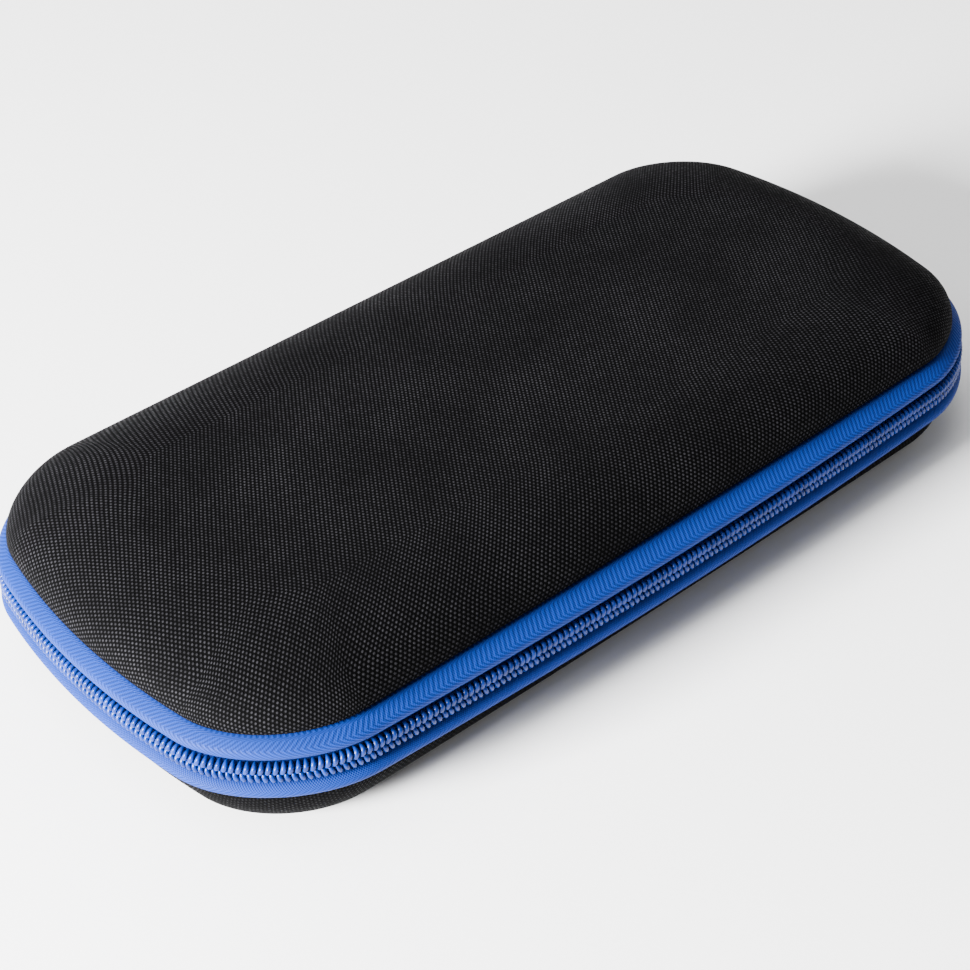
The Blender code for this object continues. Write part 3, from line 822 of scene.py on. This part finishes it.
def build_inside(elastic, yarn, hem_cloth):
    """Elastic strap in the base, and the net pocket with its hem in the lid."""
    webbing = slab(
        "strap_webbing", STRAP_LOW, STRAP_HIGH, (40, 60),
        NO_BEND, elastic, "base", "trim", ("elastic_strap",), (0, 1))
    hem = slab(
        "pocket_binding", HEM_LOW, HEM_HIGH, (90, 16),
        NO_BEND, hem_cloth, "lid", "trim", ("pocket_hem",), (0, 1))
    net = build_net(yarn)


def build_net(yarn):
    """Open net of knotted diamonds, stretched flat across the lid."""
    cell = NET_CELL
    z = (NET_LOW.z + NET_HIGH.z) / 2
    inside = rim(6.9 * MM)
    limit_x, limit_y = inside[:, 0].max(), inside[:, 1].max()
    front = NET_LOW.y + 0.4 * MM
    radius = 12.0 * MM
    def held(x, y):
        over_x, over_y = abs(x) - (limit_x - 4 * MM - radius), y - (limit_y - radius)
        return not (over_x > 0 and over_y > 0 and math.hypot(over_x, over_y) > radius)
    columns, rows = int(2 * (limit_x - 4 * MM) / cell), int((limit_y - front) / (cell / 2))
    index, points, faces = {}, [], []
    def vertex(i, j):
        if (i, j) not in index:
            index[i, j] = len(points)
            points.append((-(limit_x - 4 * MM) + i * cell / 2, front + j * cell / 2, z))
        return index[i, j]
    for i in range(1, 2 * columns - 1):
        for j in range(1, rows - 1):
            if (i + j) % 2 == 0:
                continue
            x, y = -(limit_x - 4 * MM) + i * cell / 2, front + j * cell / 2
            if all(held(x + a * cell / 2, y + b * cell / 2) for a, b in ((1, 0), (-1, 0), (0, 1), (0, -1))):
                faces.append((vertex(i - 1, j), vertex(i, j - 1), vertex(i + 1, j), vertex(i, j + 1)))
    mesh = bpy.data.meshes.new("pocket_net")
    mesh.from_pydata(points, [], faces)
    net = bpy.data.objects.new("pocket_net", mesh)
    bpy.context.scene.collection.objects.link(net)
    wires = net.modifiers.new("threads", "WIREFRAME")
    wires.thickness = NET_THREAD
    wires.use_even_offset = False
    bake(net)
    return place(net, yarn, "lid", "net", ("net_pocket",))


# ---------------------------------------------------------------- stage

def build_stage():
    bpy.ops.mesh.primitive_plane_add(size=6.0, location=(0, 0, 0))
    floor = bpy.context.object
    floor.name = "floor"
    floor.data.materials.append(pale_floor())
    world = bpy.data.worlds.new("soft_studio")
    bpy.context.scene.world = world
    world.use_nodes = True
    world.node_tree.nodes["Background"].inputs["Color"].default_value = (1.0, 1.0, 1.0, 1.0)
    world.node_tree.nodes["Background"].inputs["Strength"].default_value = WORLD_LIGHT
    for name, place, size, power in LIGHTS:
        lamp = bpy.data.lights.new(name, "AREA")
        lamp.shape = "RECTANGLE"
        lamp.size, lamp.size_y = size
        lamp.energy = power
        obj = bpy.data.objects.new(name, lamp)
        obj.location = place
        obj.rotation_euler = (Vector((0, 0, 0.02)) - Vector(place)).to_track_quat("-Z", "Y").to_euler()
        bpy.context.scene.collection.objects.link(obj)


# Name, place, size and power of each lamp. The key stands at the left end of the case.
WORLD_LIGHT = 0.42
LIGHTS = (
    ("key_left", (-1.00, 0.05, 0.34), (0.35, 0.35), 135.0),
    ("top_soft", (-0.55, 0.15, 1.35), (1.4, 1.4), 24.0),
    ("rim_back", (0.40, 0.90, 0.55), (0.8, 0.4), 4.0),
)

# The camera looks at the zip's middle from the front left.
VIEW_AZIMUTH = -39.40
VIEW_ELEVATION = 37.70
VIEW_ROLL = -2.45
VIEW_DISTANCE = 0.5179
FOCAL_LENGTH = 81.71
SHIFT_X = -0.0203
SHIFT_Y = -0.0537
CREST_ABOVE_ZIP = 2.0 * MM


def build_camera():
    azimuth, elevation = math.radians(VIEW_AZIMUTH), math.radians(VIEW_ELEVATION)
    level = math.cos(elevation)
    back = Vector((math.sin(azimuth) * level, -math.cos(azimuth) * level, math.sin(elevation)))
    camera = bpy.data.objects.new("camera", bpy.data.cameras.new("camera"))
    camera.data.lens = FOCAL_LENGTH
    camera.data.sensor_width = 36.0
    camera.data.clip_start = 0.01
    camera.data.shift_x, camera.data.shift_y = SHIFT_X, SHIFT_Y
    target = Vector((0, 0, ZIP_Z + CREST_ABOVE_ZIP))
    camera.location = target + back * VIEW_DISTANCE
    turn = back.to_track_quat("Z", "Y").to_matrix()
    turn = turn @ Matrix.Rotation(math.radians(VIEW_ROLL), 3, "Z")
    camera.rotation_euler = turn.to_euler()
    bpy.context.scene.collection.objects.link(camera)
    bpy.context.scene.camera = camera


def main():
    build_camera()
    build_stage()
    nylon = ballistic_nylon("ballistic_nylon", 5.0)
    smooth_nylon = ballistic_nylon("base_nylon", 1.2)
    knit = brushed_knit()
    cloth = zip_tape_cloth()
    coil_material = coil_nylon()
    elastic = ribbed_elastic("ribbed_elastic", 0, 1.1 * MM)
    hem_cloth = ribbed_elastic("hem_elastic", 1, 0.9 * MM)
    shell("lid_cover", 1, LID_HIGH.z, LID_RUN, nylon, knit, elastic, "lid")
    shell("base_cover", -1, BASE_FLOOR_Z, BASE_RUN, smooth_nylon, knit, elastic, "base")
    build_zip(cloth, coil_material)
    build_spine(smooth_nylon, knit)
    build_inside(elastic, net_yarn(), hem_cloth)
    build_slider(enamelled_zinc())
    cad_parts["spine_stiffener"].material_slots[0].material = elastic


main()
